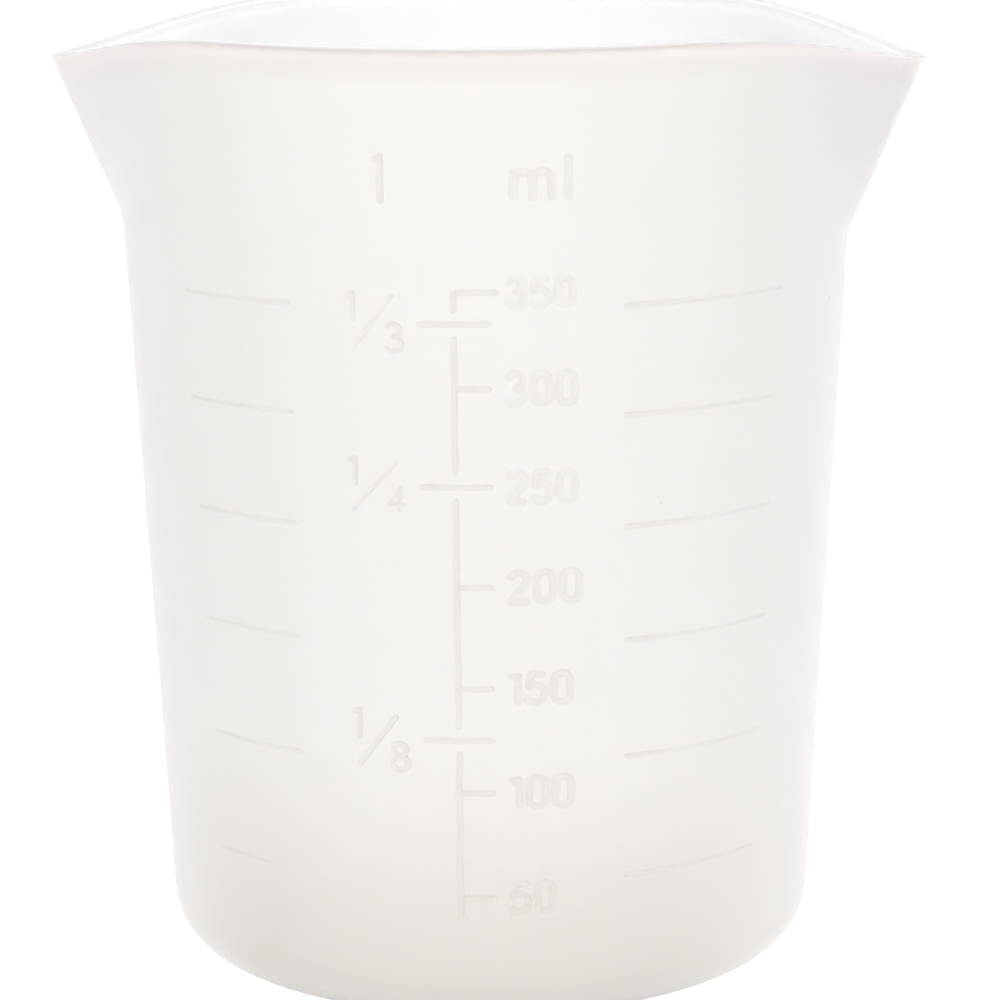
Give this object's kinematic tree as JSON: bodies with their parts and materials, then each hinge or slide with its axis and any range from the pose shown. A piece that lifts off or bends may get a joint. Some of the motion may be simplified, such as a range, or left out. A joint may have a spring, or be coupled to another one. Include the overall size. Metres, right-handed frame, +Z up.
{
  "type": "resin mixing cup",
  "caption": "Soft translucent cup with a tapered round wall, flat underside, two opposite pouring spouts and a raised volume scale.",
  "frame": {"origin": "centre of the flat underside, on the table", "axes": "+Z up along the cup's axis; +X and -X through the two spouts; the volume scale faces -Y"},
  "size_m": [0.0996, 0.0854, 0.1083],
  "materials": {
    "silicone": "satin translucent",
    "raised_marks": "satin translucent"
  },
  "bodies": {
    "root": {"cup_shell": "silicone", "spine_1": "raised_marks", "spine_2": "raised_marks", "spine_3": "raised_marks", "spine_4": "raised_marks", "tick_50_ml": "raised_marks", "tick_100_ml": "raised_marks", "tick_150_ml": "raised_marks", "tick_200_ml": "raised_marks", "tick_300_ml": "raised_marks", "tick_350_ml": "raised_marks", "tick_eighth_litre": "raised_marks", "tick_quarter_litre": "raised_marks", "tick_third_litre": "raised_marks", "ring_left_1": "raised_marks", "ring_left_2": "raised_marks", "ring_left_3": "raised_marks", "ring_left_4": "raised_marks", "ring_left_5": "raised_marks", "ring_left_6": "raised_marks", "ring_right_1": "raised_marks", "ring_right_2": "raised_marks", "ring_right_3": "raised_marks", "ring_right_4": "raised_marks", "ring_right_5": "raised_marks", "ring_right_6": "raised_marks"}
  },
  "joints": []
}
